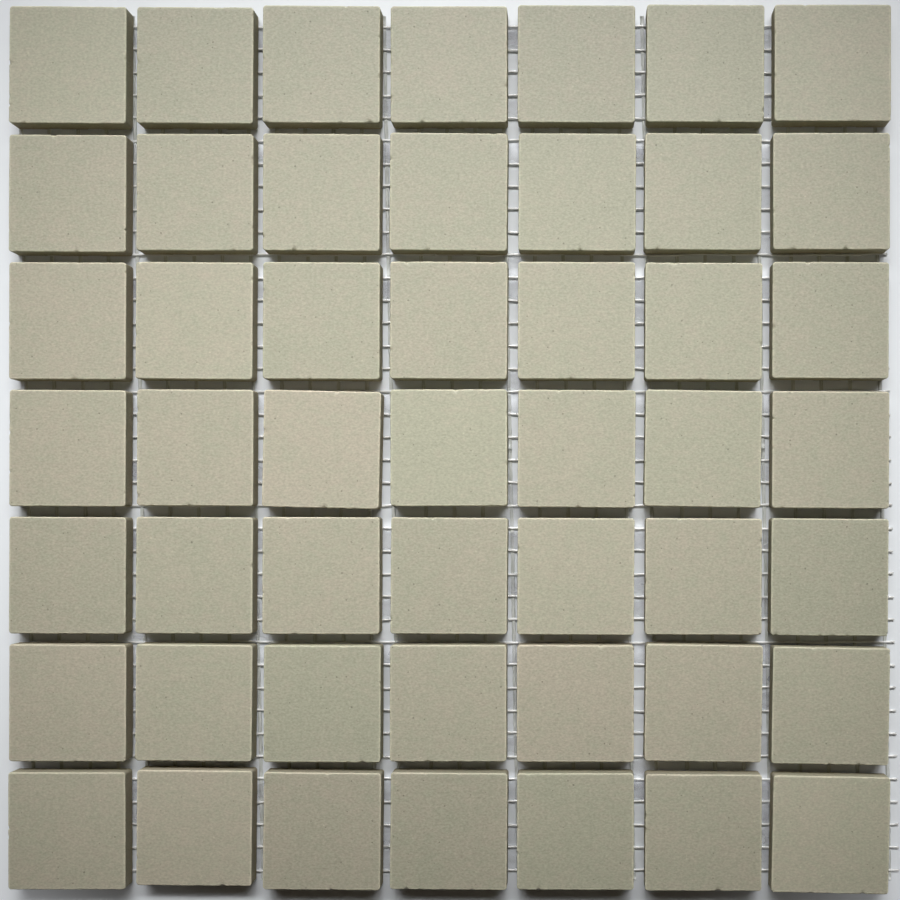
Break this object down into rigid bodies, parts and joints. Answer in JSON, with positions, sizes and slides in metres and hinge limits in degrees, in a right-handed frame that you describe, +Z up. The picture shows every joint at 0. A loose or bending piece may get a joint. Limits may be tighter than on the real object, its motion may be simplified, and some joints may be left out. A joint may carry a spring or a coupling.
{
  "type": "mosaic tile sheet",
  "caption": "Square sheet of small matt porcelain floor or wall tiles, held at even joints by a glass fibre net on their backs, to be bedded in adhesive and grouted.",
  "frame": {"origin": "middle of the base of the whole sheet, on the plane that its net lies on", "axes": "+Z up out of the tile faces, +X along the rows towards the side where the net sticks out, +Y up the columns"},
  "size_m": [0.192, 0.19, 0.0051],
  "materials": {
    "tile": "matte",
    "net": "satin"
  },
  "bodies": {
    "root": {"tile_r1_c1": "tile", "tile_r1_c2": "tile", "tile_r1_c3": "tile", "tile_r1_c4": "tile", "tile_r1_c5": "tile", "tile_r1_c6": "tile", "tile_r1_c7": "tile", "tile_r2_c1": "tile", "tile_r2_c2": "tile", "tile_r2_c3": "tile", "tile_r2_c4": "tile", "tile_r2_c5": "tile", "tile_r2_c6": "tile", "tile_r2_c7": "tile", "tile_r3_c1": "tile", "tile_r3_c2": "tile", "tile_r3_c3": "tile", "tile_r3_c4": "tile", "tile_r3_c5": "tile", "tile_r3_c6": "tile", "tile_r3_c7": "tile", "tile_r4_c1": "tile", "tile_r4_c2": "tile", "tile_r4_c3": "tile", "tile_r4_c4": "tile", "tile_r4_c5": "tile", "tile_r4_c6": "tile", "tile_r4_c7": "tile", "tile_r5_c1": "tile", "tile_r5_c2": "tile", "tile_r5_c3": "tile", "tile_r5_c4": "tile", "tile_r5_c5": "tile", "tile_r5_c6": "tile", "tile_r5_c7": "tile", "tile_r6_c1": "tile", "tile_r6_c2": "tile", "tile_r6_c3": "tile", "tile_r6_c4": "tile", "tile_r6_c5": "tile", "tile_r6_c6": "tile", "tile_r6_c7": "tile", "tile_r7_c1": "tile", "tile_r7_c2": "tile", "tile_r7_c3": "tile", "tile_r7_c4": "tile", "tile_r7_c5": "tile", "tile_r7_c6": "tile", "tile_r7_c7": "tile", "net_far_left": "net", "net_far_right": "net", "net_near_left": "net", "net_near_right": "net"}
  },
  "joints": []
}
